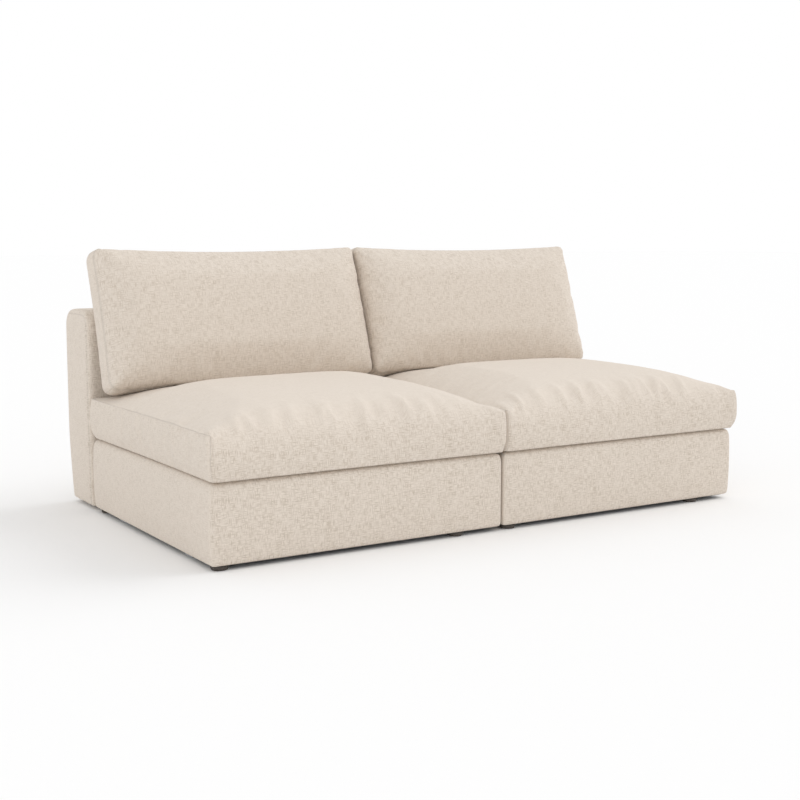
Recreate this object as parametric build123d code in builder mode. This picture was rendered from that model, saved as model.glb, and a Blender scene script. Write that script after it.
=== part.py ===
import os
from math import cos, radians, sin

from build123d import *

os.makedirs("parts", exist_ok=True)

# Two armless modules stand side by side: +X right, -Y front, +Z up, floor at Z 0
MODULE_SIDES = {"left": -1, "right": 1}
MODULE_PITCH = 950.0
MODULE_GAP = 6.0
FIT = 0.3

# Depth layout, front to back
SEAT_OVERHANG = 20.0
BASE_DEPTH = 920.0
BACK_GAP = 18.0
BACK_THICKNESS = 230.0
OVERALL_DEPTH = SEAT_OVERHANG + BASE_DEPTH + BACK_GAP + BACK_THICKNESS
BASE_FRONT = SEAT_OVERHANG - OVERALL_DEPTH / 2
BASE_REAR = BASE_FRONT + BASE_DEPTH
BASE_MIDDLE = (BASE_FRONT + BASE_REAR) / 2
BACK_FRONT = BASE_REAR + BACK_GAP

# Upholstered base box
BASE_WIDTH = MODULE_PITCH - MODULE_GAP
BASE_BOTTOM = 13.0
BASE_TOP = 240.0
BASE_CORNER_RADIUS = 24.0
BASE_TOP_RADIUS = 26.0
BASE_BOTTOM_RADIUS = 6.0
FABRIC = 2.0
PADDING = 18.0
COVER_RETURN = 60.0

# Base frame of solid timber
FRAME_INSET = FABRIC + PADDING
FRAME_WIDTH = BASE_WIDTH - 2 * FRAME_INSET
FRAME_DEPTH = BASE_DEPTH - 2 * FRAME_INSET
FRAME_FRONT = BASE_FRONT + FRAME_INSET
FRAME_REAR = FRAME_FRONT + FRAME_DEPTH
RAIL_THICKNESS = 24.0
RAIL_HEIGHT = 170.0
RAIL_BOTTOM = BASE_BOTTOM + FABRIC
RAIL_TOP = RAIL_BOTTOM + RAIL_HEIGHT
RAIL_INSET = FRAME_INSET + RAIL_THICKNESS / 2
INNER_WIDTH = FRAME_WIDTH - 2 * RAIL_THICKNESS
INNER_DEPTH = FRAME_DEPTH - 2 * RAIL_THICKNESS
CENTRE_RAIL_HEIGHT = 110.0
CORNER_BLOCK_LEG = 70.0
CORNER_BLOCK_HEIGHT = 120.0

# Sinuous springs run front to back, held in clips on the front and rear rails
SPRING_COUNT = 5
SPRING_SPACING = 165.0
SPRING_WIRE_RADIUS = 2.0
SPRING_RUNG = 30.0
SPRING_TURNS = 20
SPRING_SPAN = FRAME_DEPTH - RAIL_THICKNESS
SPRING_STEP = SPRING_SPAN / SPRING_TURNS
CLIP_BORE = SPRING_WIRE_RADIUS + FIT
CLIP_RADIUS = CLIP_BORE + 2.0
CLIP_LENGTH = 24.0
CLIP_FOOT = 16.0
CLIP_PLATE = 2.0
SPRING_HEIGHT = RAIL_TOP + CLIP_RADIUS
DECK_BOTTOM = RAIL_TOP + 2 * CLIP_RADIUS + FIT

# Feet, dust cover and the wood screws under the base
DUST_COVER = 0.8
DUST_COVER_INSET = 15.0
FOOT_HEIGHT = BASE_BOTTOM - DUST_COVER
FOOT_TOP_RADIUS = 25.0
FOOT_BOTTOM_RADIUS = 22.0
FOOT_EDGE_RADIUS = 4.0
FOOT_LEFT_INSET = 36.0
FOOT_RIGHT_INSET = 150.0
FOOT_COUNTERBORE = 6.0
SCREW_RADIUS = 2.2
SCREW_LENGTH = 40.0
SCREW_HEAD_RADIUS = 4.5
SCREW_HEAD_HEIGHT = 3.0
SCREW_BORE = SCREW_RADIUS + FIT

# Link keepers: bent steel straps under the side rails that take flat link plates
KEEPER_POSITIONS = (200.0, 720.0)
KEEPER_LENGTH = 30.0
KEEPER_SHEET = 2.0
KEEPER_FLANGE = 22.0
SLOT_WIDTH = 44.0
SLOT_HEIGHT = 6.0
LINK_FIT = 0.5
KEEPER_SCREW_OFFSET = SLOT_WIDTH / 2 + KEEPER_SHEET + KEEPER_FLANGE / 2
LINK_LENGTH = 2 * (FRAME_INSET + KEEPER_LENGTH) + MODULE_GAP
LINK_END_RADIUS = 8.0

# Back rest profile: depth behind its front face, height above the floor
BACK_BOTTOM = 10.0
BACK_HEIGHT_FRONT = 636.0
BACK_HEIGHT_CROWN = 648.0
BACK_HEIGHT_REAR = 634.0
BACK_CROWN_DEPTH = 105.0
BACK_KNEE_HEIGHT = 236.0
BACK_FOOT_DEPTH = 197.0
BACK_FRONT_RADIUS = 56.0
BACK_REAR_RADIUS = 60.0
BACK_CROWN_RADIUS = 400.0
BACK_KNEE_RADIUS = 300.0
BACK_BOTTOM_RADIUS = 14.0
BACK_END_RADIUS = 24.0

# Back rest frame
POST_THICKNESS = 30.0
POST_DEPTH = 150.0
POST_BOTTOM = RAIL_BOTTOM + 4.0
POST_TOP = 600.0
BACK_FRAME_FRONT = BACK_FRONT + 22.0
BACK_FRAME_REAR = BACK_FRAME_FRONT + POST_DEPTH
BACK_RAIL_LENGTH = FRAME_WIDTH - 2 * POST_THICKNESS
BACK_RAIL_THICKNESS = 30.0
BACK_RAIL_HEIGHT = 110.0
BACK_RAIL_BOTTOM = 50.0
TOP_RAIL_DEPTH = 90.0
TOP_RAIL_HEIGHT = 40.0
PANEL_THICKNESS = 4.0
STRAP_COUNT = 4
STRAP_WIDTH = 60.0
STRAP_THICKNESS = 2.0
STRAP_SPACING = 95.0
STRAP_MIDDLE = 370.0

# Bolted joint between the back rest and the base
MOUNT_SPACING = 600.0
MOUNT_WIDTH = 80.0
MOUNT_HEIGHT = 90.0
MOUNT_MIDDLE = BACK_RAIL_BOTTOM + BACK_RAIL_HEIGHT / 2
MOUNT_LENGTH = BACK_FRAME_FRONT - FRAME_REAR
BOLT_RADIUS = 4.0
BOLT_BORE = BOLT_RADIUS + FIT
BOLT_SPACING = 50.0
BOLT_HEAD_FLATS = 13.0
BOLT_HEAD_HEIGHT = 5.3
NUT_HEIGHT = 6.8
BOLT_TIP = 6.0
BOLT_GRIP = RAIL_THICKNESS + MOUNT_LENGTH + BACK_RAIL_THICKNESS

# Seat cushion: rows of (height above its bottom, inset from its widest outline)
CUSHION_GAP = 0.7
SEAT_BOTTOM = BASE_TOP + CUSHION_GAP
SEAT_FRONT = BASE_FRONT - SEAT_OVERHANG
SEAT_REAR = BASE_REAR + 8.0
SEAT_INNER_HALF = MODULE_PITCH / 2 - CUSHION_GAP
SEAT_OUTER_HALF = SEAT_INNER_HALF + 8.0
SEAT_SIDE_LEVELS = ((0.0, 14.0), (22.0, 3.0), (62.0, 0.0), (104.0, 3.0), (127.0, 9.0))
SEAT_SEAM_HEIGHT = SEAT_SIDE_LEVELS[-1][0]
SEAT_SEAM_INSET = SEAT_SIDE_LEVELS[-1][1]
SEAT_CROWN_LEVELS = ((0.0, 0.0), (17.0, 45.0), (36.0, 100.0), (54.0, 185.0), (62.0, 300.0))
SEAT_CORNER_RADIUS = 30.0
SEAT_PULLS = (7.0, 5.0, 0.0)
CORNER_GROWTH = 0.4
CORNER_LIMIT = 0.4
CUSHION_WALL = 3.0
CORE_INSET = CUSHION_WALL + 2 * FIT

# Back cushion: rows of (offset from its middle plane, inset from its widest outline).
# Loose on the seat, both cushions have drifted a little to the right.
LEAN = radians(19.0)
CUSHION_WIDTH = MODULE_PITCH - 4.0
CUSHION_DRIFT = 8.0
CUSHION_HEIGHT = 469.0
CUSHION_REAR_SEAM = 52.5
CUSHION_FRONT_SEAM = 14.0
CUSHION_BED = 5.4
CUSHION_BOTTOM = SEAT_BOTTOM + SEAT_SEAM_HEIGHT + SEAT_CROWN_LEVELS[-2][0] + CUSHION_GAP - CUSHION_BED
CUSHION_FOOT_MIDDLE = BASE_FRONT + 793.6
CUSHION_FOOT_DROP = 21.3
CUSHION_SEAM_INSET = 6.0
CUSHION_FRONT_LEVELS = ((0.0, 0.0), (22.0, 9.0), (37.0, 24.0), (52.0, 58.0), (64.0, 110.0), (70.0, 165.0))
CUSHION_REAR_LEVELS = ((0.0, 0.0), (12.0, 30.0), (18.0, 75.0))
CUSHION_REAR_FACE = -CUSHION_REAR_SEAM - CUSHION_REAR_LEVELS[-1][0]
CUSHION_CORNER_RADIUS = 42.0
CUSHION_PULLS = (0.0, 6.0, 13.0)

# Zips close the rear of both cushion covers
SEAT_ZIP_LENGTH = 700.0
BACK_ZIP_LENGTH = 600.0
ZIP_WIDTH = 24.0
ZIP_TAPE = 2.2
ZIP_RIDGE_WIDTH = 5.0
ZIP_RIDGE_HEIGHT = 1.5
BACK_ZIP_DROP = 105.0
SLIDER_LENGTH = 14.0
SLIDER_WIDTH = 11.0
SLIDER_HEIGHT = 4.5
SLIDER_END_MARGIN = 20.0
PULL_TAB_WIDTH = 6.0
PULL_TAB_LENGTH = 24.0
PULL_TAB_THICKNESS = 1.2


def save(builder, label):
    """Label a finished piece and write it to its own STEP file."""
    builder.part.label = label
    export_step(builder.part, f"parts/{label}.step")


def across(x, y, z):
    """Upright plane across the sofa through the given point, facing the rear."""
    return Plane(origin=(x, y, z), x_dir=(1, 0, 0), z_dir=(0, 1, 0))


def pulled_edge(start, end, pull):
    """One edge of a cushion outline, pulled to its left by the given amount in the middle."""
    if pull == 0:
        Line(start, end)
        return
    along = (Vector(*end) - Vector(*start)).normalized()
    middle = (Vector(*start) + Vector(*end)) / 2 + Vector(-along.Y, along.X) * pull
    ThreePointArc(start, (middle.X, middle.Y), end)


def cushion_outline(x_low, x_high, y_low, y_high, radius, pulls):
    """Outline with round corners; pulls are for the low edge, the two ends and the high edge."""
    low_pull, end_pull, high_pull = pulls
    radius = min(radius, CORNER_LIMIT * min(x_high - x_low, y_high - y_low))
    cut = radius * (1 - cos(radians(45)))
    with BuildSketch() as outline:
        with BuildLine():
            pulled_edge((x_low + radius, y_low), (x_high - radius, y_low), low_pull)
            ThreePointArc(
                (x_high - radius, y_low), (x_high - cut, y_low + cut), (x_high, y_low + radius)
            )
            pulled_edge((x_high, y_low + radius), (x_high, y_high - radius), end_pull)
            ThreePointArc(
                (x_high, y_high - radius), (x_high - cut, y_high - cut), (x_high - radius, y_high)
            )
            pulled_edge((x_high - radius, y_high), (x_low + radius, y_high), high_pull)
            ThreePointArc(
                (x_low + radius, y_high), (x_low + cut, y_high - cut), (x_low, y_high - radius)
            )
            pulled_edge((x_low, y_high - radius), (x_low, y_low + radius), end_pull)
            ThreePointArc(
                (x_low, y_low + radius), (x_low + cut, y_low + cut), (x_low + radius, y_low)
            )
        make_face()
    return outline.sketch


def base_form(module_x, inset):
    """The upholstered base box, drawn in by the inset on every face."""
    with BuildPart() as form:
        with BuildSketch(Plane.XY.offset(BASE_BOTTOM + inset)):
            with Locations((module_x, BASE_MIDDLE)):
                RectangleRounded(
                    BASE_WIDTH - 2 * inset, BASE_DEPTH - 2 * inset, BASE_CORNER_RADIUS - inset
                )
        extrude(amount=BASE_TOP - BASE_BOTTOM - 2 * inset)
        fillet(form.edges().group_by(Axis.Z)[-1], BASE_TOP_RADIUS - inset)
        fillet(form.edges().group_by(Axis.Z)[0], BASE_BOTTOM_RADIUS - inset)
    return form.part


def back_form(module_x, inset):
    """The upholstered back rest slab, drawn in by the inset on every face."""
    profile_plane = Plane(
        origin=(module_x - BASE_WIDTH / 2 + inset, BACK_FRONT, 0), x_dir=(0, 1, 0), z_dir=(1, 0, 0)
    )
    corners = (
        ((0, BACK_BOTTOM), BACK_BOTTOM_RADIUS),
        ((BACK_FOOT_DEPTH, BACK_BOTTOM), BACK_BOTTOM_RADIUS),
        ((BACK_THICKNESS, BACK_KNEE_HEIGHT), BACK_KNEE_RADIUS),
        ((BACK_THICKNESS, BACK_HEIGHT_REAR), BACK_REAR_RADIUS),
        ((BACK_CROWN_DEPTH, BACK_HEIGHT_CROWN), BACK_CROWN_RADIUS),
        ((0, BACK_HEIGHT_FRONT), BACK_FRONT_RADIUS),
    )
    with BuildPart() as form:
        with BuildSketch(profile_plane):
            with BuildLine() as outline:
                Polyline(*[corner for corner, radius in corners], close=True)
                for corner, radius in corners:
                    fillet(outline.vertices().sort_by_distance(corner)[0], radius)
            make_face()
            if inset > 0:
                offset(amount=-inset, mode=Mode.REPLACE)
        extrude(amount=BASE_WIDTH - 2 * inset)
        ends = form.faces().sort_by(Axis.X)
        fillet(ends[0].edges() + ends[-1].edges(), BACK_END_RADIUS - inset)
    return form.part


def seat_form(module_x, side, inset):
    """The seat cushion: bulged sides below the seam, a full crown above it."""
    x_low = module_x - (SEAT_OUTER_HALF if side < 0 else SEAT_INNER_HALF)
    x_high = module_x + (SEAT_INNER_HALF if side < 0 else SEAT_OUTER_HALF)
    side_scale = (SEAT_SEAM_HEIGHT - 2 * inset) / SEAT_SEAM_HEIGHT
    side_levels = [(inset + height * side_scale, step) for height, step in SEAT_SIDE_LEVELS]
    crown_levels = [
        (SEAT_SEAM_HEIGHT - inset + rise, SEAT_SEAM_INSET + step) for rise, step in SEAT_CROWN_LEVELS
    ]
    with BuildPart() as form:
        for levels in (side_levels, crown_levels):
            for height, step in levels:
                trim = inset + step
                radius = SEAT_CORNER_RADIUS + CORNER_GROWTH * step
                with BuildSketch(Plane.XY.offset(SEAT_BOTTOM + height)):
                    add(
                        cushion_outline(
                            x_low + trim,
                            x_high - trim,
                            SEAT_FRONT + trim,
                            SEAT_REAR - trim,
                            radius,
                            SEAT_PULLS,
                        )
                    )
            loft()
    return form.part


def cushion_plane(module_x):
    """Middle plane of the leaning back cushion, facing the front."""
    up = Vector(0, sin(LEAN), cos(LEAN))
    facing = Vector(0, -cos(LEAN), sin(LEAN))
    foot_x = module_x + CUSHION_DRIFT
    foot = Vector(foot_x, CUSHION_FOOT_MIDDLE, CUSHION_BOTTOM - CUSHION_FOOT_DROP)
    return Plane(origin=foot + up * (CUSHION_HEIGHT / 2), x_dir=(1, 0, 0), z_dir=facing)


def cushion_form(module_x, inset):
    """The back cushion: boxing with a soft bulge, crowned front and rear, flat cut foot."""
    front_seam = CUSHION_FRONT_SEAM - inset
    rear_seam = inset - CUSHION_REAR_SEAM
    boxing_levels = [
        (rear_seam, CUSHION_SEAM_INSET),
        ((rear_seam + front_seam) / 2, 0),
        (front_seam, CUSHION_SEAM_INSET),
    ]
    front_levels = [
        (front_seam + rise, CUSHION_SEAM_INSET + step) for rise, step in CUSHION_FRONT_LEVELS
    ]
    rear_levels = [
        (rear_seam - rise, CUSHION_SEAM_INSET + step) for rise, step in CUSHION_REAR_LEVELS
    ]
    with BuildPart() as form:
        for levels in (boxing_levels, front_levels, rear_levels):
            for height, step in levels:
                trim = inset + step
                radius = CUSHION_CORNER_RADIUS + CORNER_GROWTH * step
                with BuildSketch(cushion_plane(module_x).offset(height)):
                    add(
                        cushion_outline(
                            -CUSHION_WIDTH / 2 + trim,
                            CUSHION_WIDTH / 2 - trim,
                            -CUSHION_HEIGHT / 2 + trim,
                            CUSHION_HEIGHT / 2 - trim,
                            radius,
                            CUSHION_PULLS,
                        )
                    )
            loft()
        split(bisect_by=Plane.XY.offset(CUSHION_BOTTOM + inset), keep=Keep.TOP)
    return form.part


def wood_screw(x, y, seat_height):
    """One round-head wood screw driven upwards, its head under the given height."""
    with Locations((x, y, seat_height)):
        Cylinder(SCREW_RADIUS, SCREW_LENGTH, align=(Align.CENTER, Align.CENTER, Align.MIN))
        Cylinder(
            SCREW_HEAD_RADIUS, SCREW_HEAD_HEIGHT, align=(Align.CENTER, Align.CENTER, Align.MAX)
        )


def screw_bores(points, low, high):
    """Bores for the wood screws through whatever the current piece has between two heights."""
    for x, y in points:
        with Locations((x, y, low)):
            Cylinder(
                SCREW_BORE,
                high - low,
                align=(Align.CENTER, Align.CENTER, Align.MIN),
                mode=Mode.SUBTRACT,
            )


def bolt_bores(module_x):
    """Bores along Y for the four bolts that hold the back rest."""
    with BuildSketch(across(module_x, FRAME_REAR, MOUNT_MIDDLE)) as bores:
        with GridLocations(MOUNT_SPACING, BOLT_SPACING, 2, 2):
            Circle(BOLT_BORE)
    extrude(bores.sketch, amount=BOLT_GRIP, both=True, mode=Mode.SUBTRACT)


def mount_windows(module_x, start, depth):
    """Windows along Y in the upholstery for the two mounting blocks."""
    with BuildSketch(across(module_x, start, MOUNT_MIDDLE)) as windows:
        with GridLocations(MOUNT_SPACING, 0, 2, 1):
            Rectangle(MOUNT_WIDTH + 2 * FIT, MOUNT_HEIGHT + 2 * FIT)
    extrude(windows.sketch, amount=depth, mode=Mode.SUBTRACT)


def zip_slot(face, length):
    """Slot through the cover wall behind the given outer face."""
    with BuildSketch(face.offset(-CUSHION_WALL)) as slot:
        Rectangle(length, ZIP_WIDTH)
    extrude(slot.sketch, amount=2 * CUSHION_WALL + FIT, mode=Mode.SUBTRACT)


def zip_strip(face, length):
    """Zip tape in its slot with the closed row of teeth proud of the outer face."""
    with BuildSketch(face.offset(FIT)) as tape:
        Rectangle(length - 2 * FIT, ZIP_WIDTH - 2 * FIT)
    extrude(tape.sketch, amount=ZIP_TAPE)
    with BuildSketch(face.offset(FIT)) as teeth:
        Rectangle(length - SLIDER_END_MARGIN, ZIP_RIDGE_WIDTH)
    extrude(teeth.sketch, amount=-(FIT + ZIP_RIDGE_HEIGHT))


def zip_slider(face, length):
    """Slider astride the teeth at the closed end, with a flat pull tab hanging from it."""
    rest_x = length / 2 - SLIDER_END_MARGIN
    with BuildSketch(face.offset(-FIT)) as shell:
        with Locations((rest_x, 0)):
            Rectangle(SLIDER_LENGTH, SLIDER_WIDTH)
    extrude(shell.sketch, amount=-SLIDER_HEIGHT)
    with BuildSketch(face.offset(-FIT)) as groove:
        with Locations((rest_x, 0)):
            Rectangle(SLIDER_LENGTH, ZIP_RIDGE_WIDTH + 2 * FIT)
    extrude(groove.sketch, amount=-ZIP_RIDGE_HEIGHT, mode=Mode.SUBTRACT)
    with BuildSketch(face.offset(-FIT - SLIDER_HEIGHT)) as tab:
        with Locations((rest_x, -PULL_TAB_LENGTH / 2 + SLIDER_WIDTH / 2)):
            RectangleRounded(PULL_TAB_WIDTH, PULL_TAB_LENGTH, PULL_TAB_WIDTH / 3)
    extrude(tab.sketch, amount=-PULL_TAB_THICKNESS)


for module, side in MODULE_SIDES.items():
    module_x = side * MODULE_PITCH / 2

    # Screw positions shared by rails, covers, feet and keepers
    foot_xs = (
        module_x - BASE_WIDTH / 2 + FOOT_LEFT_INSET,
        module_x + BASE_WIDTH / 2 - FOOT_RIGHT_INSET,
    )
    foot_ys = (BASE_FRONT + RAIL_INSET, BASE_REAR - RAIL_INSET)
    foot_points = [(x, y) for x in foot_xs for y in foot_ys]
    keeper_xs = [module_x + end * (BASE_WIDTH / 2 - RAIL_INSET) for end in (-1, 1)]
    keeper_ys = [BASE_FRONT + position for position in KEEPER_POSITIONS]
    keeper_points = [
        (x, y + end * KEEPER_SCREW_OFFSET) for x in keeper_xs for y in keeper_ys for end in (-1, 1)
    ]
    screw_points = foot_points + keeper_points

    # Base frame
    rail_middle = RAIL_BOTTOM + RAIL_HEIGHT / 2
    with BuildPart() as base_front_rail:
        with Locations((module_x, FRAME_FRONT + RAIL_THICKNESS / 2, rail_middle)):
            Box(FRAME_WIDTH, RAIL_THICKNESS, RAIL_HEIGHT)
        screw_bores(screw_points, 0, SCREW_LENGTH + BASE_BOTTOM)
    save(base_front_rail, f"{module}_base_front_rail")

    with BuildPart() as base_rear_rail:
        with Locations((module_x, FRAME_REAR - RAIL_THICKNESS / 2, rail_middle)):
            Box(FRAME_WIDTH, RAIL_THICKNESS, RAIL_HEIGHT)
        screw_bores(screw_points, 0, SCREW_LENGTH + BASE_BOTTOM)
        bolt_bores(module_x)
    save(base_rear_rail, f"{module}_base_rear_rail")

    with BuildPart() as base_side_rails:
        with Locations((module_x, BASE_MIDDLE, rail_middle)):
            with GridLocations(FRAME_WIDTH - RAIL_THICKNESS, 0, 2, 1):
                Box(RAIL_THICKNESS, INNER_DEPTH, RAIL_HEIGHT)
        screw_bores(screw_points, 0, SCREW_LENGTH + BASE_BOTTOM)
    save(base_side_rails, f"{module}_base_side_rails")

    with BuildPart() as base_centre_rail:
        with Locations((module_x, BASE_MIDDLE, RAIL_BOTTOM + CENTRE_RAIL_HEIGHT / 2)):
            Box(RAIL_THICKNESS, INNER_DEPTH, CENTRE_RAIL_HEIGHT)
    save(base_centre_rail, f"{module}_base_centre_rail")

    with BuildPart() as corner_blocks:
        for x_end in (-1, 1):
            for y_end in (-1, 1):
                corner_x = module_x + x_end * INNER_WIDTH / 2
                corner_y = BASE_MIDDLE + y_end * INNER_DEPTH / 2
                with BuildSketch(Plane.XY.offset(RAIL_BOTTOM)):
                    with BuildLine():
                        Polyline(
                            (corner_x, corner_y),
                            (corner_x - x_end * CORNER_BLOCK_LEG, corner_y),
                            (corner_x, corner_y - y_end * CORNER_BLOCK_LEG),
                            close=True,
                        )
                    make_face()
                extrude(amount=CORNER_BLOCK_HEIGHT)
    save(corner_blocks, f"{module}_corner_blocks")

    # Sinuous springs and their clips
    spring_xs = [
        module_x + (index - (SPRING_COUNT - 1) / 2) * SPRING_SPACING for index in range(SPRING_COUNT)
    ]
    spring_front = BASE_MIDDLE - SPRING_SPAN / 2
    with BuildPart() as seat_springs:
        for spring_x in spring_xs:
            with BuildLine(Plane.XY.offset(SPRING_HEIGHT)) as wire:
                for turn in range(SPRING_TURNS):
                    hand = 1 if turn % 2 == 0 else -1
                    rung_y = spring_front + turn * SPRING_STEP
                    rung_end = spring_x + hand * SPRING_RUNG / 2
                    Line((rung_end - hand * SPRING_RUNG, rung_y), (rung_end, rung_y))
                    ThreePointArc(
                        (rung_end, rung_y),
                        (rung_end + hand * SPRING_STEP / 2, rung_y + SPRING_STEP / 2),
                        (rung_end, rung_y + SPRING_STEP),
                    )
                last_y = spring_front + SPRING_SPAN
                Line((spring_x - SPRING_RUNG / 2, last_y), (spring_x + SPRING_RUNG / 2, last_y))
            with BuildSketch(Plane(origin=wire.wire() @ 0, z_dir=wire.wire() % 0)):
                Circle(SPRING_WIRE_RADIUS)
            sweep(path=wire.wire())
    save(seat_springs, f"{module}_seat_springs")

    with BuildPart() as spring_clips:
        for spring_x in spring_xs:
            for clip_y in (spring_front, spring_front + SPRING_SPAN):
                clip_plane = Plane(
                    origin=(spring_x, clip_y, SPRING_HEIGHT), x_dir=(0, 1, 0), z_dir=(1, 0, 0)
                )
                with BuildSketch(clip_plane):
                    Circle(CLIP_RADIUS)
                    with Locations((0, CLIP_PLATE / 2 - CLIP_RADIUS)):
                        Rectangle(CLIP_FOOT, CLIP_PLATE)
                    Circle(CLIP_BORE, mode=Mode.SUBTRACT)
                extrude(amount=CLIP_LENGTH / 2, both=True)
    save(spring_clips, f"{module}_spring_clips")

    # Upholstery of the base
    padding_form = base_form(module_x, FABRIC + FIT)
    with BuildPart() as base_padding:
        add(padding_form)
        with Locations((module_x, BASE_MIDDLE, DECK_BOTTOM)):
            Box(
                FRAME_WIDTH + 2 * FIT,
                FRAME_DEPTH + 2 * FIT,
                DECK_BOTTOM,
                align=(Align.CENTER, Align.CENTER, Align.MAX),
                mode=Mode.SUBTRACT,
            )
        mount_windows(module_x, FRAME_REAR - FIT, BACK_GAP + FRAME_INSET)
    save(base_padding, f"{module}_base_padding")

    cover_form = base_form(module_x, 0)
    cover_cavity = base_form(module_x, FABRIC)
    with BuildPart() as base_cover:
        add(cover_form)
        add(cover_cavity, mode=Mode.SUBTRACT)
        with Locations((module_x, BASE_MIDDLE, BASE_BOTTOM)):
            Box(
                BASE_WIDTH - 2 * COVER_RETURN,
                BASE_DEPTH - 2 * COVER_RETURN,
                2 * FABRIC,
                mode=Mode.SUBTRACT,
            )
        screw_bores(screw_points, 0, RAIL_BOTTOM)
        mount_windows(module_x, FRAME_REAR, BACK_GAP + FRAME_INSET)
    save(base_cover, f"{module}_base_cover")

    with BuildPart() as dust_cover:
        with BuildSketch(Plane.XY.offset(FOOT_HEIGHT)):
            with Locations((module_x, BASE_MIDDLE)):
                RectangleRounded(
                    BASE_WIDTH - 2 * DUST_COVER_INSET,
                    BASE_DEPTH - 2 * DUST_COVER_INSET,
                    BASE_CORNER_RADIUS - DUST_COVER_INSET,
                )
        extrude(amount=DUST_COVER)
        screw_bores(screw_points, 0, BASE_BOTTOM)
    save(dust_cover, f"{module}_dust_cover")

    # Feet, keepers and their screws
    with BuildPart() as feet:
        with Locations(*[(x, y, 0) for x, y in foot_points]):
            Cone(
                FOOT_BOTTOM_RADIUS,
                FOOT_TOP_RADIUS,
                FOOT_HEIGHT,
                align=(Align.CENTER, Align.CENTER, Align.MIN),
            )
        fillet(feet.edges().group_by(Axis.Z)[0], FOOT_EDGE_RADIUS)
        with Locations(*[(x, y, 0) for x, y in foot_points]):
            Cylinder(
                SCREW_HEAD_RADIUS + FIT,
                FOOT_COUNTERBORE,
                align=(Align.CENTER, Align.CENTER, Align.MIN),
                mode=Mode.SUBTRACT,
            )
        screw_bores(foot_points, 0, FOOT_HEIGHT)
    save(feet, f"{module}_feet")

    flange_top = FOOT_HEIGHT
    strap_width = SLOT_WIDTH + 2 * KEEPER_SHEET
    slot_bottom = flange_top - SLOT_HEIGHT
    with BuildPart() as link_keepers:
        for keeper_x in keeper_xs:
            outward = 1 if keeper_x > module_x else -1
            mouth_x = keeper_x + outward * RAIL_THICKNESS / 2
            for keeper_y in keeper_ys:
                keeper_plane = Plane(
                    origin=(mouth_x, keeper_y, flange_top), x_dir=(0, 1, 0), z_dir=(1, 0, 0)
                )
                with BuildSketch(keeper_plane):
                    Rectangle(
                        strap_width + 2 * KEEPER_FLANGE,
                        KEEPER_SHEET,
                        align=(Align.CENTER, Align.MAX),
                    )
                    Rectangle(
                        strap_width, SLOT_HEIGHT + KEEPER_SHEET, align=(Align.CENTER, Align.MAX)
                    )
                    Rectangle(
                        SLOT_WIDTH,
                        SLOT_HEIGHT,
                        align=(Align.CENTER, Align.MAX),
                        mode=Mode.SUBTRACT,
                    )
                extrude(amount=-outward * KEEPER_LENGTH)
        screw_bores(keeper_points, 0, flange_top)
    save(link_keepers, f"{module}_link_keepers")

    with BuildPart() as base_screws:
        for x, y in foot_points:
            wood_screw(x, y, FOOT_COUNTERBORE)
        for x, y in keeper_points:
            wood_screw(x, y, flange_top - KEEPER_SHEET)
    save(base_screws, f"{module}_base_screws")

    # Back rest frame
    post_middle = (POST_BOTTOM + POST_TOP) / 2
    with BuildPart() as back_posts:
        with Locations((module_x, BACK_FRAME_FRONT + POST_DEPTH / 2, post_middle)):
            with GridLocations(FRAME_WIDTH - POST_THICKNESS, 0, 2, 1):
                Box(POST_THICKNESS, POST_DEPTH, POST_TOP - POST_BOTTOM)
    save(back_posts, f"{module}_back_posts")

    with BuildPart() as back_rails:
        with Locations((module_x, BACK_FRAME_FRONT + BACK_RAIL_THICKNESS / 2, MOUNT_MIDDLE)):
            Box(BACK_RAIL_LENGTH, BACK_RAIL_THICKNESS, BACK_RAIL_HEIGHT)
        with Locations((module_x, BACK_FRAME_FRONT + POST_DEPTH / 2, POST_TOP)):
            Box(
                BACK_RAIL_LENGTH,
                TOP_RAIL_DEPTH,
                TOP_RAIL_HEIGHT,
                align=(Align.CENTER, Align.CENTER, Align.MAX),
            )
        bolt_bores(module_x)
    save(back_rails, f"{module}_back_rails")

    with BuildPart() as back_panel:
        with Locations((module_x, BACK_FRAME_REAR + PANEL_THICKNESS / 2, post_middle)):
            Box(FRAME_WIDTH, PANEL_THICKNESS, POST_TOP - POST_BOTTOM)
    save(back_panel, f"{module}_back_panel")

    with BuildPart() as back_webbing:
        with BuildSketch(across(module_x, BACK_FRAME_FRONT, STRAP_MIDDLE)):
            with GridLocations(0, STRAP_SPACING, 1, STRAP_COUNT):
                Rectangle(FRAME_WIDTH, STRAP_WIDTH)
        extrude(amount=-STRAP_THICKNESS)
    save(back_webbing, f"{module}_back_webbing")

    # Upholstery of the back rest
    frame_front = BACK_FRAME_FRONT - STRAP_THICKNESS - FIT
    frame_depth = POST_DEPTH + STRAP_THICKNESS + PANEL_THICKNESS + 2 * FIT
    back_padding_form = back_form(module_x, FABRIC + FIT)
    with BuildPart() as back_padding:
        add(back_padding_form)
        with Locations((module_x, frame_front, POST_TOP + FIT)):
            Box(
                FRAME_WIDTH + 2 * FIT,
                frame_depth,
                POST_TOP,
                align=(Align.CENTER, Align.MIN, Align.MAX),
                mode=Mode.SUBTRACT,
            )
        mount_windows(module_x, BACK_FRONT, frame_depth)
    save(back_padding, f"{module}_back_padding")

    back_cover_form = back_form(module_x, 0)
    back_cavity = back_form(module_x, FABRIC)
    with BuildPart() as back_cover:
        add(back_cover_form)
        add(back_cavity, mode=Mode.SUBTRACT)
        mount_windows(module_x, BACK_FRONT - FABRIC, 2 * FABRIC + FIT)
    save(back_cover, f"{module}_back_cover")

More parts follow.
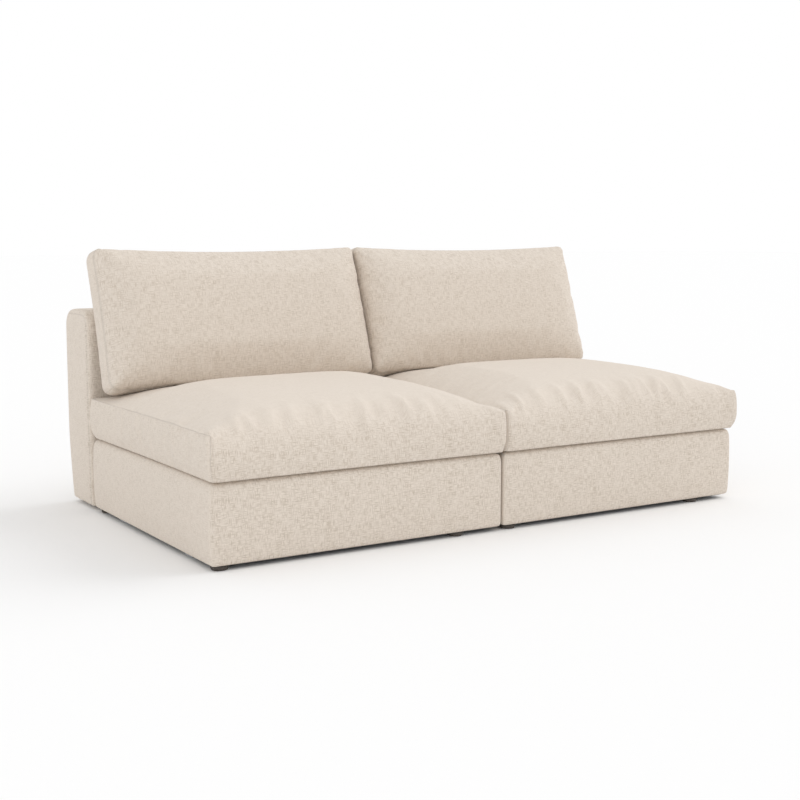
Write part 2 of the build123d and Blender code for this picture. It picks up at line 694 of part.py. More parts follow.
    # Bolted joint between base and back rest
    with BuildPart() as back_mount_blocks:
        with Locations((module_x, FRAME_REAR + MOUNT_LENGTH / 2, MOUNT_MIDDLE)):
            with GridLocations(MOUNT_SPACING, 0, 2, 1):
                Box(MOUNT_WIDTH, MOUNT_LENGTH, MOUNT_HEIGHT)
        bolt_bores(module_x)
    save(back_mount_blocks, f"{module}_back_mount_blocks")

    head_seat = across(module_x, FRAME_REAR - RAIL_THICKNESS, MOUNT_MIDDLE)
    with BuildPart() as back_bolts:
        with BuildSketch(head_seat):
            with GridLocations(MOUNT_SPACING, BOLT_SPACING, 2, 2):
                RegularPolygon(BOLT_HEAD_FLATS / 2, 6, major_radius=False)
        extrude(amount=-BOLT_HEAD_HEIGHT)
        with BuildSketch(head_seat):
            with GridLocations(MOUNT_SPACING, BOLT_SPACING, 2, 2):
                Circle(BOLT_RADIUS)
        extrude(amount=BOLT_GRIP + NUT_HEIGHT + BOLT_TIP)
        with BuildSketch(head_seat.offset(BOLT_GRIP)):
            with GridLocations(MOUNT_SPACING, BOLT_SPACING, 2, 2):
                RegularPolygon(BOLT_HEAD_FLATS / 2, 6, major_radius=False)
                Circle(BOLT_BORE, mode=Mode.SUBTRACT)
        extrude(amount=NUT_HEIGHT)
    save(back_bolts, f"{module}_back_bolts")

    # Seat cushion
    seat_zip_face = Plane(
        origin=(module_x, SEAT_REAR, SEAT_BOTTOM + SEAT_SEAM_HEIGHT / 2),
        x_dir=(1, 0, 0),
        z_dir=(0, -1, 0),
    )
    seat_outer = seat_form(module_x, side, 0)
    seat_inner = seat_form(module_x, side, CUSHION_WALL)
    with BuildPart() as seat_cover:
        add(seat_outer)
        add(seat_inner, mode=Mode.SUBTRACT)
        zip_slot(seat_zip_face, SEAT_ZIP_LENGTH)
    save(seat_cover, f"{module}_seat_cover")

    seat_filling = seat_form(module_x, side, CORE_INSET)
    with BuildPart() as seat_core:
        add(seat_filling)
    save(seat_core, f"{module}_seat_core")

    with BuildPart() as seat_zip:
        zip_strip(seat_zip_face, SEAT_ZIP_LENGTH)
    save(seat_zip, f"{module}_seat_zip")

    with BuildPart() as seat_zip_slider:
        zip_slider(seat_zip_face, SEAT_ZIP_LENGTH)
    save(seat_zip_slider, f"{module}_seat_zip_slider")

    # Back cushion
    rear_face = cushion_plane(module_x).offset(CUSHION_REAR_FACE)
    back_zip_face = Plane(
        origin=rear_face.from_local_coords((0, -BACK_ZIP_DROP, 0)),
        x_dir=(1, 0, 0),
        z_dir=rear_face.z_dir,
    )
    cushion_outer = cushion_form(module_x, 0)
    cushion_inner = cushion_form(module_x, CUSHION_WALL)
    with BuildPart() as back_cushion_cover:
        add(cushion_outer)
        add(cushion_inner, mode=Mode.SUBTRACT)
        zip_slot(back_zip_face, BACK_ZIP_LENGTH)
    save(back_cushion_cover, f"{module}_back_cushion_cover")

    cushion_filling = cushion_form(module_x, CORE_INSET)
    with BuildPart() as back_cushion_core:
        add(cushion_filling)
    save(back_cushion_core, f"{module}_back_cushion_core")

    with BuildPart() as back_zip:
        zip_strip(back_zip_face, BACK_ZIP_LENGTH)
    save(back_zip, f"{module}_back_zip")

    with BuildPart() as back_zip_slider:
        zip_slider(back_zip_face, BACK_ZIP_LENGTH)
    save(back_zip_slider, f"{module}_back_zip_slider")

# Two link plates bridge the keepers where the modules meet
with BuildPart() as link_plates:
    for position in KEEPER_POSITIONS:
        with BuildSketch(Plane.XY.offset(FOOT_HEIGHT - SLOT_HEIGHT + LINK_FIT)):
            with Locations((0, BASE_FRONT + position)):
                RectangleRounded(LINK_LENGTH, SLOT_WIDTH - 2 * LINK_FIT, LINK_END_RADIUS)
        extrude(amount=SLOT_HEIGHT - 2 * LINK_FIT)
save(link_plates, "link_plates")
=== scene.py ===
import bmesh
import bpy
import math
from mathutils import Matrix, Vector, noise


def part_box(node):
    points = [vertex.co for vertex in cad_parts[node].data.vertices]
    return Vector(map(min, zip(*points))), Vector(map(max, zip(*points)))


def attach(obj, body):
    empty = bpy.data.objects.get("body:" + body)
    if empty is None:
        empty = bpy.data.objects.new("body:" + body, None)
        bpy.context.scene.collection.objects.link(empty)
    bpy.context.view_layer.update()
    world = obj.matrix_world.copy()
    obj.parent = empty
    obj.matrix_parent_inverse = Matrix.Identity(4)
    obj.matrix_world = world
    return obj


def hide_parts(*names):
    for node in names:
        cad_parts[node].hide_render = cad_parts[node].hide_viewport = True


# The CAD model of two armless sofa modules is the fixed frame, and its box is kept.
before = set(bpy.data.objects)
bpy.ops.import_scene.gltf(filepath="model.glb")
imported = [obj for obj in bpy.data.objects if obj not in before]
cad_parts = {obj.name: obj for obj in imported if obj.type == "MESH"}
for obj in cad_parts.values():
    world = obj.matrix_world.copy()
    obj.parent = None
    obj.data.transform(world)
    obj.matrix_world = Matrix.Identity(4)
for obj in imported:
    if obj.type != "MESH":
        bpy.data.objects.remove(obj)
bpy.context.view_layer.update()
MODULES = {"left": -1.0, "right": 1.0}


# Timber frame: planed softwood rails, posts and blocks of the base and the back
# rest, glued and screwed, with a hardboard panel behind. All of it is out of sight.
def add_node(tree, kind, sockets=None, **settings):
    made = tree.nodes.new(kind)
    for name, value in settings.items():
        setattr(made, name, value)
    for name, value in (sockets or {}).items():
        if isinstance(value, bpy.types.NodeSocket):
            tree.links.new(value, made.inputs[name])
        else:
            made.inputs[name].default_value = value
    return made


def new_material(name):
    material = bpy.data.materials.new(name)
    material.use_nodes = True
    material.node_tree.nodes.clear()
    return material, material.node_tree


def close_material(tree, sockets):
    surface = add_node(tree, "ShaderNodeBsdfPrincipled", sockets)
    add_node(tree, "ShaderNodeOutputMaterial", {"Surface": surface.outputs["BSDF"]})


def two_tone(tree, factor, dark, pale, low=0.3, high=0.7):
    """A colour between two tones, where the factor runs from low to high."""
    ramp = add_node(tree, "ShaderNodeValToRGB", {"Fac": factor})
    for element, position, tone in zip(ramp.color_ramp.elements, (low, high), (dark, pale)):
        element.position = position
        element.color = (*tone, 1.0)
    return ramp.outputs["Color"]


def wood_material(name, pale, dark, stretch):
    material, tree = new_material(name)
    place = add_node(tree, "ShaderNodeTexCoord").outputs["Object"]
    along = add_node(tree, "ShaderNodeMapping", {"Vector": place, "Scale": stretch})
    grain = add_node(
        tree,
        "ShaderNodeTexNoise",
        {"Vector": along.outputs["Vector"], "Scale": 3.0, "Detail": 6.0, "Distortion": 0.6},
    )
    bump = add_node(
        tree,
        "ShaderNodeBump",
        {"Height": grain.outputs["Fac"], "Strength": 0.15, "Distance": 0.001},
    )
    close_material(
        tree,
        {
            "Base Color": two_tone(tree, grain.outputs["Fac"], dark, pale),
            "Roughness": 0.6,
            "Normal": bump.outputs["Normal"],
        },
    )
    return material


def dress(nodes, material):
    for node in nodes:
        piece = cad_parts[node]
        piece.data.materials.clear()
        piece.data.materials.append(material)


softwood = wood_material("planed_softwood", (0.70, 0.50, 0.31), (0.52, 0.33, 0.18), (3, 40, 40))
hardboard = wood_material("pressed_hardboard", (0.33, 0.21, 0.12), (0.24, 0.15, 0.08), (60, 60, 60))
TIMBER = (
    "base_front_rail", "base_rear_rail", "base_side_rails", "base_centre_rail",
    "corner_blocks", "back_posts", "back_rails", "back_mount_blocks",
)
for module in MODULES:
    dress([f"{module}_{piece}" for piece in TIMBER], softwood)
    dress([f"{module}_back_panel"], hardboard)


# Steel work: sinuous springs in their clips, screws, bolts, and the keepers and link
# plates that join the modules. Spring wire is dark and oiled, the rest zinc plated.
def steel_material(name, colour, cloud, roughness):
    material, tree = new_material(name)
    place = add_node(tree, "ShaderNodeTexCoord").outputs["Object"]
    spangle = add_node(
        tree, "ShaderNodeTexNoise", {"Vector": place, "Scale": 140.0, "Detail": 4.0}
    ).outputs["Fac"]
    sheen = add_node(
        tree,
        "ShaderNodeMapRange",
        {"Value": spangle, "To Min": roughness - 0.08, "To Max": roughness + 0.1},
    )
    close_material(
        tree,
        {
            "Base Color": two_tone(tree, spangle, cloud, colour),
            "Metallic": 1.0,
            "Roughness": sheen.outputs["Result"],
        },
    )
    return material


oiled_wire = steel_material("oiled_spring_wire", (0.16, 0.16, 0.17), (0.08, 0.08, 0.09), 0.45)
zinc_plate = steel_material("zinc_plate", (0.66, 0.67, 0.69), (0.50, 0.51, 0.54), 0.38)
for module in MODULES:
    dress([f"{module}_seat_springs", f"{module}_spring_clips"], oiled_wire)
    for piece in ("link_keepers", "base_screws", "back_bolts"):
        dress([f"{module}_{piece}"], zinc_plate)
dress(["link_plates"], zinc_plate)


# Webbing straps across the back rest and the dust cover stapled under each base:
# a woven elastic strap and a thin black non-woven cloth.
def woven_material(name, pale, dark, pitch):
    material, tree = new_material(name)
    place = add_node(tree, "ShaderNodeTexCoord").outputs["Object"]
    threads = add_node(
        tree, "ShaderNodeTexVoronoi", {"Vector": place, "Scale": 1.0 / pitch, "Randomness": 0.6}
    ).outputs["Distance"]
    bump = add_node(
        tree, "ShaderNodeBump", {"Height": threads, "Strength": 0.3, "Distance": 0.0005}
    )
    close_material(
        tree,
        {
            "Base Color": two_tone(tree, threads, pale, dark, 0.1, 0.7),
            "Roughness": 0.85,
            "Normal": bump.outputs["Normal"],
        },
    )
    return material


strap_weave = woven_material("elastic_strap", (0.42, 0.34, 0.24), (0.20, 0.16, 0.11), 0.0025)
black_fleece = woven_material(
    "black_non_woven", (0.035, 0.035, 0.035), (0.012, 0.012, 0.012), 0.0012
)
for module in MODULES:
    dress([f"{module}_back_webbing"], strap_weave)
    dress([f"{module}_dust_cover"], black_fleece)


# Feet: low round glides of dark brown moulded plastic, one screw through each.
foot_plastic, tree = new_material("dark_foot_plastic")
place = add_node(tree, "ShaderNodeTexCoord").outputs["Object"]
grain = add_node(
    tree, "ShaderNodeTexNoise", {"Vector": place, "Scale": 900.0, "Detail": 3.0}
).outputs["Fac"]
spark = add_node(tree, "ShaderNodeBump", {"Height": grain, "Strength": 0.12, "Distance": 0.0004})
close_material(
    tree,
    {
        "Base Color": two_tone(tree, grain, (0.045, 0.036, 0.030), (0.075, 0.062, 0.052)),
        "Roughness": 0.5,
        "Normal": spark.outputs["Normal"],
    },
)
for module in MODULES:
    dress([f"{module}_feet"], foot_plastic)


# Base covers: cream heathered linen cloth pulled over foam on the box of the base,
# round at the top and the upright corners, turned under and stapled.
def slubs(group, vector, scale):
    """Thick places in the threads of one direction, as a mask."""
    run = add_node(group, "ShaderNodeMapping", {"Vector": vector, "Scale": scale})
    streak = add_node(
        group,
        "ShaderNodeTexNoise",
        {"Vector": run.outputs["Vector"], "Scale": 1.0, "Detail": 1.0, "Roughness": 0.5},
    )
    mask = add_node(
        group,
        "ShaderNodeMapRange",
        {"Value": streak.outputs["Fac"], "From Min": 0.47, "From Max": 0.68},
    )
    return mask.outputs["Result"]


def linen_weave():
    """Heathered plain weave: dark slubs along both thread directions, and the threads' relief."""
    group = bpy.data.node_groups.new("linen_weave", "ShaderNodeTree")
    group.interface.new_socket("Vector", in_out="INPUT", socket_type="NodeSocketVector")
    group.interface.new_socket("Slub", in_out="OUTPUT", socket_type="NodeSocketFloat")
    group.interface.new_socket("Height", in_out="OUTPUT", socket_type="NodeSocketFloat")
    cloth = add_node(group, "NodeGroupInput").outputs["Vector"]
    weft, warp = slubs(group, cloth, (52.0, 440.0, 1.0)), slubs(group, cloth, (440.0, 52.0, 1.0))
    crossing = add_node(group, "ShaderNodeMath", {0: weft, 1: warp}, operation="MAXIMUM")
    patch = add_node(
        group, "ShaderNodeTexNoise", {"Vector": cloth, "Scale": 20.0, "Detail": 2.0}
    )
    share = add_node(
        group,
        "ShaderNodeMapRange",
        {"Value": patch.outputs["Fac"], "From Min": 0.3, "From Max": 0.7, "To Min": 0.6},
    )
    slub = add_node(
        group,
        "ShaderNodeMath",
        {0: crossing.outputs["Value"], 1: share.outputs["Result"]},
        operation="MULTIPLY",
    ).outputs["Value"]
    threads = [
        add_node(
            group,
            "ShaderNodeTexWave",
            {"Vector": cloth, "Scale": 190.0, "Distortion": 1.2, "Detail": 1.0},
            bands_direction=direction,
        ).outputs["Fac"]
        for direction in ("X", "Y")
    ]
    weave = add_node(group, "ShaderNodeMath", {0: threads[0], 1: threads[1]}, operation="MULTIPLY")
    relief = add_node(group, "ShaderNodeMath", {0: weave.outputs["Value"], 1: slub})
    leave = add_node(group, "NodeGroupOutput")
    group.links.new(slub, leave.inputs["Slub"])
    group.links.new(relief.outputs["Value"], leave.inputs["Height"])
    return group


def linen_material(name, pale, oatmeal):
    """Linen whose slubs fade on tops and side panels as painted light, and which sinks along seams,
    with painted shade in the seam grooves.
    """
    material, tree = new_material(name)
    weave = add_node(tree, "ShaderNodeGroup", node_tree=linen_weave())
    cloth = add_node(tree, "ShaderNodeUVMap", uv_map="cloth")
    tree.links.new(cloth.outputs["UV"], weave.inputs["Vector"])
    # Painted light: the plain attribute takes the dark slubs away on tops and side panels. This
    # paints those faces paler and smoother, as though the light washed them out.
    plain = add_node(tree, "ShaderNodeAttribute", attribute_name="plain").outputs["Fac"]
    shown = add_node(tree, "ShaderNodeMath", {0: 1.0, 1: plain}, operation="SUBTRACT")
    heather = add_node(
        tree,
        "ShaderNodeMath",
        {0: weave.outputs["Slub"], 1: shown.outputs["Value"]},
        operation="MULTIPLY",
    )
    colour = add_node(
        tree,
        "ShaderNodeMix",
        {"Factor": heather.outputs["Value"], "A": (*pale, 1.0), "B": (*oatmeal, 1.0)},
        data_type="RGBA",
    )
    # Painted shade: the colour darkens to 0.88 of itself in the seam grooves, where shade falls,
    # alongside the bump that sinks them.
    seam = add_node(tree, "ShaderNodeAttribute", attribute_name="seam").outputs["Fac"]
    away = add_node(tree, "ShaderNodeMath", {0: seam}, operation="ABSOLUTE")
    flat = add_node(
        tree,
        "ShaderNodeMapRange",
        {"Value": away.outputs["Value"], "From Max": 0.0035},
        interpolation_type="SMOOTHSTEP",
    ).outputs["Result"]
    shade = add_node(tree, "ShaderNodeMapRange", {"Value": flat, "To Min": 0.88})
    shaded = add_node(
        tree,
        "ShaderNodeVectorMath",
        {0: colour.outputs["Result"], "Scale": shade.outputs["Result"]},
        operation="SCALE",
    )
    threads = add_node(
        tree,
        "ShaderNodeBump",
        {"Height": weave.outputs["Height"], "Strength": 0.3, "Distance": 0.0008},
    )
    groove = add_node(
        tree,
        "ShaderNodeBump",
        {
            "Height": flat,
            "Strength": 0.45,
            "Distance": 0.002,
            "Normal": threads.outputs["Normal"],
        },
    )
    close_material(
        tree,
        {
            "Base Color": shaded.outputs["Vector"],
            "Roughness": 0.95,
            "Sheen Weight": 0.12,
            "Sheen Roughness": 0.6,
            "Specular IOR Level": 0.2,
            "Normal": groove.outputs["Normal"],
        },
    )
    return material


EDGE_CROWDING = 0.35
ON_FACE = 0.999
# Share of the slubs taken away on side panels: painted light that makes these faces paler and
# plainer.
SIDE_PAINTED_LIGHT = 0.45
SIDE_CLOTH_SHIFT = 1.3


def padded_block(cuts):
    """A cube from -1 to 1 in a grid whose lines crowd towards its edges, where cloth turns."""
    bm = bmesh.new()
    bmesh.ops.create_cube(bm, size=2.0)
    for axis in range(3):
        along = [e for e in bm.edges if abs((e.verts[0].co - e.verts[1].co)[axis]) > 1e-4]
        bmesh.ops.subdivide_edges(bm, edges=along, cuts=cuts[axis] - 1, use_grid_fill=True)
    bm.verts.index_update()
    for vert in bm.verts:
        vert.co = [g * (1 + EDGE_CROWDING * (1 - g * g)) for g in vert.co]
    return bm, [vert.co.copy() for vert in bm.verts]


def ring_round(first, second, radius):
    """Rounds a square edge: distances in from its two faces become those of a round edge."""
    if first >= radius or second >= radius:
        return first, second
    reach = Vector((radius - first, radius - second))
    scale = max(reach) / reach.length
    return radius - reach.x * scale, radius - reach.y * scale


def rounded_point(grid, half, upright, top, bottom):
    """A grid point of the padded block on a box with round upright, top and bottom edges."""
    in_x, in_y, in_z = [(1 - abs(g)) * h for g, h in zip(grid, half)]
    nearest = min(in_x, in_y)
    drawn, in_z = ring_round(nearest, in_z, top if grid.z > 0 else bottom)
    drawn -= nearest
    if in_x < upright and in_y < upright:
        in_x, in_y = ring_round(in_x, in_y, upright)
        out = Vector((upright - in_x, upright - in_y))
        out *= max(0.0, 1 - drawn / max(out.length, 1e-6))
        in_x, in_y = upright - out.x, upright - out.y
    elif in_x < in_y:
        in_x += drawn
    else:
        in_y += drawn
    return Vector([math.copysign(h - i, g) for g, h, i in zip(grid, half, (in_x, in_y, in_z))])


def seam_distance(grid, half, top_front_sewn=True):
    """How far a grid point is from the nearest edge of the block along which panels are sewn."""
    inward = [(1 - abs(g)) * h for g, h in zip(grid, half)]
    edges = [max(inward[0], inward[1]), max(inward[0], inward[2])]
    if top_front_sewn or grid.y > 0 or grid.z < 0:
        edges.append(max(inward[1], inward[2]))
    return min(edges)


def lay_cloth(bm, grids, start, along=Vector((0, 1, 0)), out=Vector((0, 0, 1))):
    """Cloth coordinates in metres on every panel, measured from the start along the panel."""
    cloth = bm.loops.layers.uv.new("cloth")
    for face in bm.faces:
        middle = sum((grids[v.index] for v in face.verts), Vector())
        axis = max(range(3), key=lambda a: abs(middle[a]))
        for loop in face.loops:
            reach = loop.vert.co - start
            x, y, z = reach.x, reach.dot(along), reach.dot(out)
            loop[cloth].uv = ((y + SIDE_CLOTH_SHIFT, z), (x, z), (x, y))[axis]


def mark(bm, name, values):
    layer = bm.verts.layers.float.new(name)
    for vert in bm.verts:
        vert[layer] = values[vert.index]


def upholster(bm, name, body, nodes):
    """Turns a shaped block into a piece in linen that stands for its CAD nodes."""
    for face in bm.faces:
        face.smooth = True
    mesh = bpy.data.meshes.new(name)
    bm.to_mesh(mesh)
    bm.free()
    mesh.materials.append(cream_linen)
    piece = bpy.data.objects.new(name, mesh)
    bpy.context.scene.collection.objects.link(piece)
    soften = piece.modifiers.new("soften", "SUBSURF")
    soften.levels = soften.render_levels = 1
    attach(piece, body)
    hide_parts(*nodes)


cream_linen = linen_material("cream_linen", (0.745, 0.667, 0.585), (0.525, 0.446, 0.363))
BASE_UPRIGHT = 0.011
BASE_TOP_ROUND = 0.026
BASE_FOOT_ROUND = 0.013
BASE_BULGE = 0.008
BASE_BULGE_FALL = 12
for module, hand in MODULES.items():
    low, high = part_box(f"{module}_base_cover")
    middle, half = (low + high) / 2, (high - low) / 2
    bm, grids = padded_block((40, 40, 12))
    for vert, grid in zip(bm.verts, grids):
        point = rounded_point(grid, half, BASE_UPRIGHT, BASE_TOP_ROUND, BASE_FOOT_ROUND)
        swell = BASE_BULGE * (1 - grid.z**2)
        point.x += hand * swell * max(0.0, grid.x * hand) ** BASE_BULGE_FALL * (1 - 0.4 * grid.y**4)
        point.y += math.copysign(swell, grid.y) * grid.y**BASE_BULGE_FALL * (1 - grid.x**4)
        vert.co = middle + point
    lay_cloth(bm, grids, Vector((middle.x, low.y, high.z)))
    mark(bm, "seam", [1.0] * len(grids))
    # Painted light: the side panels get paler, plainer cloth.
    mark(bm, "plain", [SIDE_PAINTED_LIGHT if abs(grid.x) > ON_FACE else 0.0 for grid in grids])
    upholster(
        bm,
        f"{module}_base_upholstery",
        f"{module}_module",
        (f"{module}_base_cover", f"{module}_base_padding"),
    )


# Back rests: low upholstered slabs behind the bases. A front and top panel is sewn to
# flat side gussets a little behind the front edge, and the rear leans in to the floor.
BACK_TOP_ROUND = 0.054
BACK_FOOT_ROUND = 0.014
BACK_END_ROUND = 0.015
BACK_KNEE = 0.236
BACK_TUCK = 0.033
BACK_CROWN = 0.007
BACK_SWELL = 0.006
GUSSET_INSET = 0.016
GUSSET_FRONT = -0.8
for module, hand in MODULES.items():
    low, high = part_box(f"{module}_back_cover")
    middle, half = (low + high) / 2, (high - low) / 2
    bm, grids = padded_block((40, 14, 32))
    seam = []
    for vert, grid in zip(bm.verts, grids):
        corner = BACK_TOP_ROUND if grid.z > 0 else BACK_FOOT_ROUND
        end_grid, end_half = Vector((grid.y, grid.z, grid.x)), Vector((half.y, half.z, half.x))
        turned = rounded_point(end_grid, end_half, corner, BACK_END_ROUND, BACK_END_ROUND)
        point = Vector((turned.z, turned.x, turned.y))
        if grid.z > 0:
            point.z -= BACK_CROWN * grid.y**2 * max(0.0, grid.z)
        to_front, to_top = point.y + half.y, half.z - point.z
        if max(BACK_TOP_ROUND - to_front, BACK_TOP_ROUND - to_top) < 0 or grid.z < 0:
            inset = min(to_front, to_top)
        else:
            inset = BACK_TOP_ROUND - math.hypot(
                max(BACK_TOP_ROUND - to_front, 0), max(BACK_TOP_ROUND - to_top, 0)
            )
        on_end = abs(grid.x) > ON_FACE
        seam.append(inset - GUSSET_INSET if on_end else 1.0)
        height = middle.z + point.z
        if height < BACK_KNEE:
            share = ((BACK_KNEE - height) / (BACK_KNEE - low.z)) ** 1.3
            point.y -= BACK_TUCK * share * to_front / (2 * half.y)
        if on_end and grid.x * hand > 0:
            point.x += hand * BACK_SWELL * (1 - grid.y**2) * (1 - grid.z**2)
        vert.co = middle + point
    lay_cloth(bm, grids, Vector((middle.x, low.y, high.z)))
    mark(bm, "seam", seam)
    # Painted light: the side gussets get paler, plainer cloth.
    gusset = [abs(grid.x) > ON_FACE and grid.y > GUSSET_FRONT for grid in grids]
    mark(bm, "plain", [SIDE_PAINTED_LIGHT if flat else 0.0 for flat in gusset])
    upholster(
        bm,
        f"{module}_back_upholstery",
        f"{module}_module",
        (f"{module}_back_cover", f"{module}_back_padding"),
    )


# Seat cushions: loose foam cushions in sewn covers. One panel runs over the top and
# down the front, gussets close the sides and the rear, and the cloth gathers at seams.
SEAT_SEAM_HEIGHT = 0.127
SEAT_SEAM_INSET = 0.005
SEAT_FOOT_INSET = 0.014
SEAT_CROWN = 0.060
SEAT_CORNER = 0.009
SEAT_SOFT_CORNER = 0.020
SEAT_SIDE_PULL = 0.004
INNER_DRAW = 0.4
PRESSED = 1.5
WATERFALL_ROUND = 0.050
WATERFALL_END_ROUND = 0.010
WATERFALL_END_RUN = 0.06
BOXING_FOOT, BOXING_MIDDLE = 0.45, 0.5
BACK_CUSHION_LINE = 0.13
BACK_CUSHION_FADE = 0.08
STEEP_SHARE, STEEP_REACH = 0.35, 0.095
SLOW_SHARE, SLOW_REACH = 0.65, 0.060
ON_SEAM = 0.0005
SEAM_LIP, SEAM_HOLLOW = 0.0012, 0.006
SEAM_HOLD, SEAM_HOLD_REACH = 0.9, 0.004
GATHER, GATHER_REACH = 0.0110, 0.040
GATHER_AT_SEAM, GATHER_RISE = 0.15, 0.012
SIDE_GATHERS, FRONT_GATHERS = 23.0, 27.0
CORNER_CALM = 0.06
FOLD, FOLD_WIDTH, FOLD_LEVEL = 0.0230, 0.16, 0.42
FOLD_LINE, FOLD_BAND, FOLD_END = 0.045, 0.052, 0.07
FOLDS, FOLD_GROUPS = 15.0, 4.0
# Painted light: the slubs fade on the seat top, more so back from the front edge, and on the front
# near its top edge.
TOP_PAINTED_LIGHT, TOP_PAINTED_LIGHT_GAIN, TOP_PAINTED_LIGHT_RUN = 0.35, 0.4, 0.06
FRONT_PAINTED_LIGHT_RUN = 0.05
SIM_FRAMES = 20
CLOTH_SPREAD, FILL_CAP = 0.012, 0.022


def crown_share(inset):
    """How much of the full crown the cover has reached this far in from its edge."""
    steep = 1 - math.exp(-inset / STEEP_REACH)
    slow = 1 - (1 + inset / SLOW_REACH) * math.exp(-inset / SLOW_REACH)
    return STEEP_SHARE * steep + SLOW_SHARE * slow


def seat_crown(in_x, in_y, outer):
    """Height of the top panel over its seam. It is fuller on the side pressed by its neighbour."""
    return SEAT_CROWN * crown_share(in_x if outer else PRESSED * in_x) * crown_share(in_y)


def boxing_inset(share):
    """How far the boxing is drawn in at a share of its height: fullest below the middle."""
    below = max(0.0, 1 - share / BOXING_FOOT)
    above = max(0.0, share / BOXING_MIDDLE - 1)
    return SEAT_FOOT_INSET * below**2.5 + SEAT_SEAM_INSET * above**2.2


def inflate(bm, held, spread, cap):
    """Fills a cover: its cloth, a little too large, swells under pressure and wrinkles.

    Held points stay where they are, by their weight, and no point moves further than the cap.
    """
    mesh = bpy.data.meshes.new("filling")
    bm.to_mesh(mesh)
    bag = bpy.data.objects.new("filling", mesh)
    bpy.context.scene.collection.objects.link(bag)
    pins = bag.vertex_groups.new(name="held")
    for index, weight in enumerate(held):
        pins.add([index], weight, "REPLACE")
    cloth = bag.modifiers.new("cloth", "CLOTH")
    fabric = cloth.settings
    fabric.quality = 5
    fabric.mass = 0.02
    fabric.tension_stiffness = fabric.compression_stiffness = 12.0
    fabric.shear_stiffness = 4.0
    fabric.bending_stiffness = 0.6
    fabric.shrink_min = -spread
    fabric.use_pressure = True
    fabric.uniform_pressure_force = 4.0
    fabric.vertex_group_mass = "held"
    fabric.effector_weights.gravity = 0.0
    cloth.point_cache.frame_start, cloth.point_cache.frame_end = 1, SIM_FRAMES
    for step in range(1, SIM_FRAMES + 1):
        bpy.context.scene.frame_set(step)
    swollen = bag.evaluated_get(bpy.context.evaluated_depsgraph_get()).to_mesh()
    for vert, filled in zip(bm.verts, swollen.vertices):
        move = filled.co - vert.co
        vert.co += move * min(1.0, cap / max(move.length, 1e-9))
    bpy.data.objects.remove(bag)
    bpy.data.meshes.remove(mesh)
    bpy.context.scene.frame_set(1)


def push(bm, amounts):
    """Moves each point along its normal."""
    bm.normal_update()
    for vert in bm.verts:
        vert.co += vert.normal * amounts[vert.index]


def seam_lip(distance):
    """A sewn edge stands up a little between two shallow hollows."""
    if distance < ON_SEAM:
        return SEAM_LIP
    return -SEAM_LIP * math.exp(-((distance / SEAM_HOLLOW) ** 2))


def seam_hold(distance):
    """How firmly the stitches hold a point this far from the seam while the cover fills."""
    return SEAM_HOLD * math.exp(-((distance / SEAM_HOLD_REACH) ** 2))


